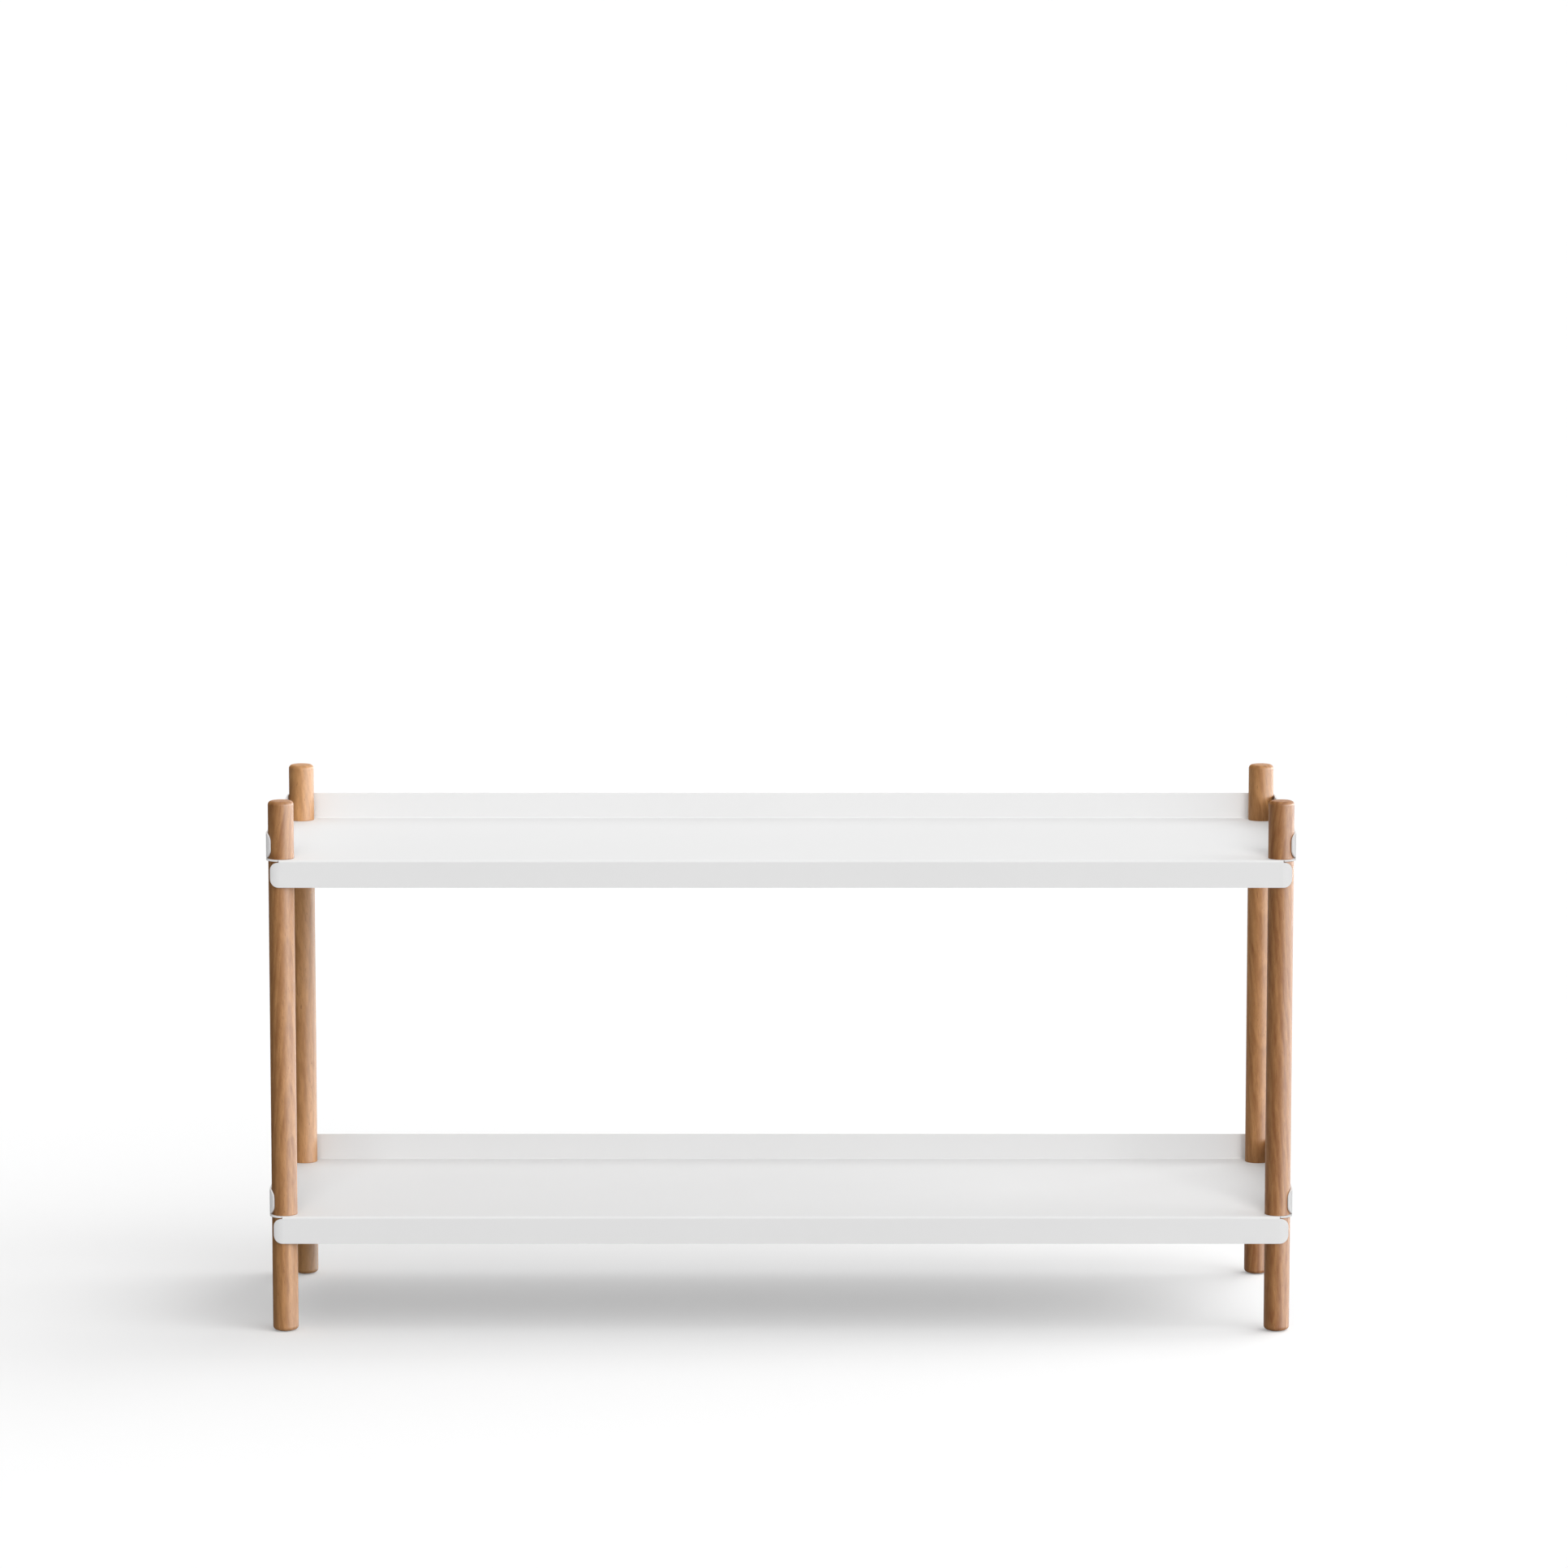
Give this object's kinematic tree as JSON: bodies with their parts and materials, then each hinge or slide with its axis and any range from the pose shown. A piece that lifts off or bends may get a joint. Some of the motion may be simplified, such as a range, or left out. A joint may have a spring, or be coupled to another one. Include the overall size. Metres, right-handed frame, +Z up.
{
  "type": "shelving unit",
  "caption": "Low open shelving unit: folded white sheet-steel shelves with rounded corners, clamped between stacked round oak posts that stand on the floor.",
  "frame": {"origin": "on the floor, under the middle of the unit", "axes": "+X to the right along the shelves, +Y to the back, +Z up"},
  "size_m": [1, 0.3, 0.524],
  "materials": {
    "oak": "turned and oiled oak",
    "white_steel": "matt white powder coat on sheet steel",
    "zinc_steel": "zinc-plated steel",
    "nylon": "moulded nylon"
  },
  "bodies": {
    "root": {"lower_shelf": "white_steel", "upper_shelf": "white_steel", "foot_front_left": "oak", "post_front_left": "oak", "finial_front_left": "oak", "foot_insert_front_left": "zinc_steel", "post_lower_insert_front_left": "zinc_steel", "post_upper_insert_front_left": "zinc_steel", "finial_insert_front_left": "zinc_steel", "lower_stud_front_left": "zinc_steel", "upper_stud_front_left": "zinc_steel", "glide_front_left": "nylon", "foot_front_right": "oak", "post_front_right": "oak", "finial_front_right": "oak", "foot_insert_front_right": "zinc_steel", "post_lower_insert_front_right": "zinc_steel", "post_upper_insert_front_right": "zinc_steel", "finial_insert_front_right": "zinc_steel", "lower_stud_front_right": "zinc_steel", "upper_stud_front_right": "zinc_steel", "glide_front_right": "nylon", "foot_rear_left": "oak", "post_rear_left": "oak", "finial_rear_left": "oak", "foot_insert_rear_left": "zinc_steel", "post_lower_insert_rear_left": "zinc_steel", "post_upper_insert_rear_left": "zinc_steel", "finial_insert_rear_left": "zinc_steel", "lower_stud_rear_left": "zinc_steel", "upper_stud_rear_left": "zinc_steel", "glide_rear_left": "nylon", "foot_rear_right": "oak", "post_rear_right": "oak", "finial_rear_right": "oak", "foot_insert_rear_right": "zinc_steel", "post_lower_insert_rear_right": "zinc_steel", "post_upper_insert_rear_right": "zinc_steel", "finial_insert_rear_right": "zinc_steel", "lower_stud_rear_right": "zinc_steel", "upper_stud_rear_right": "zinc_steel", "glide_rear_right": "nylon"}
  },
  "joints": []
}
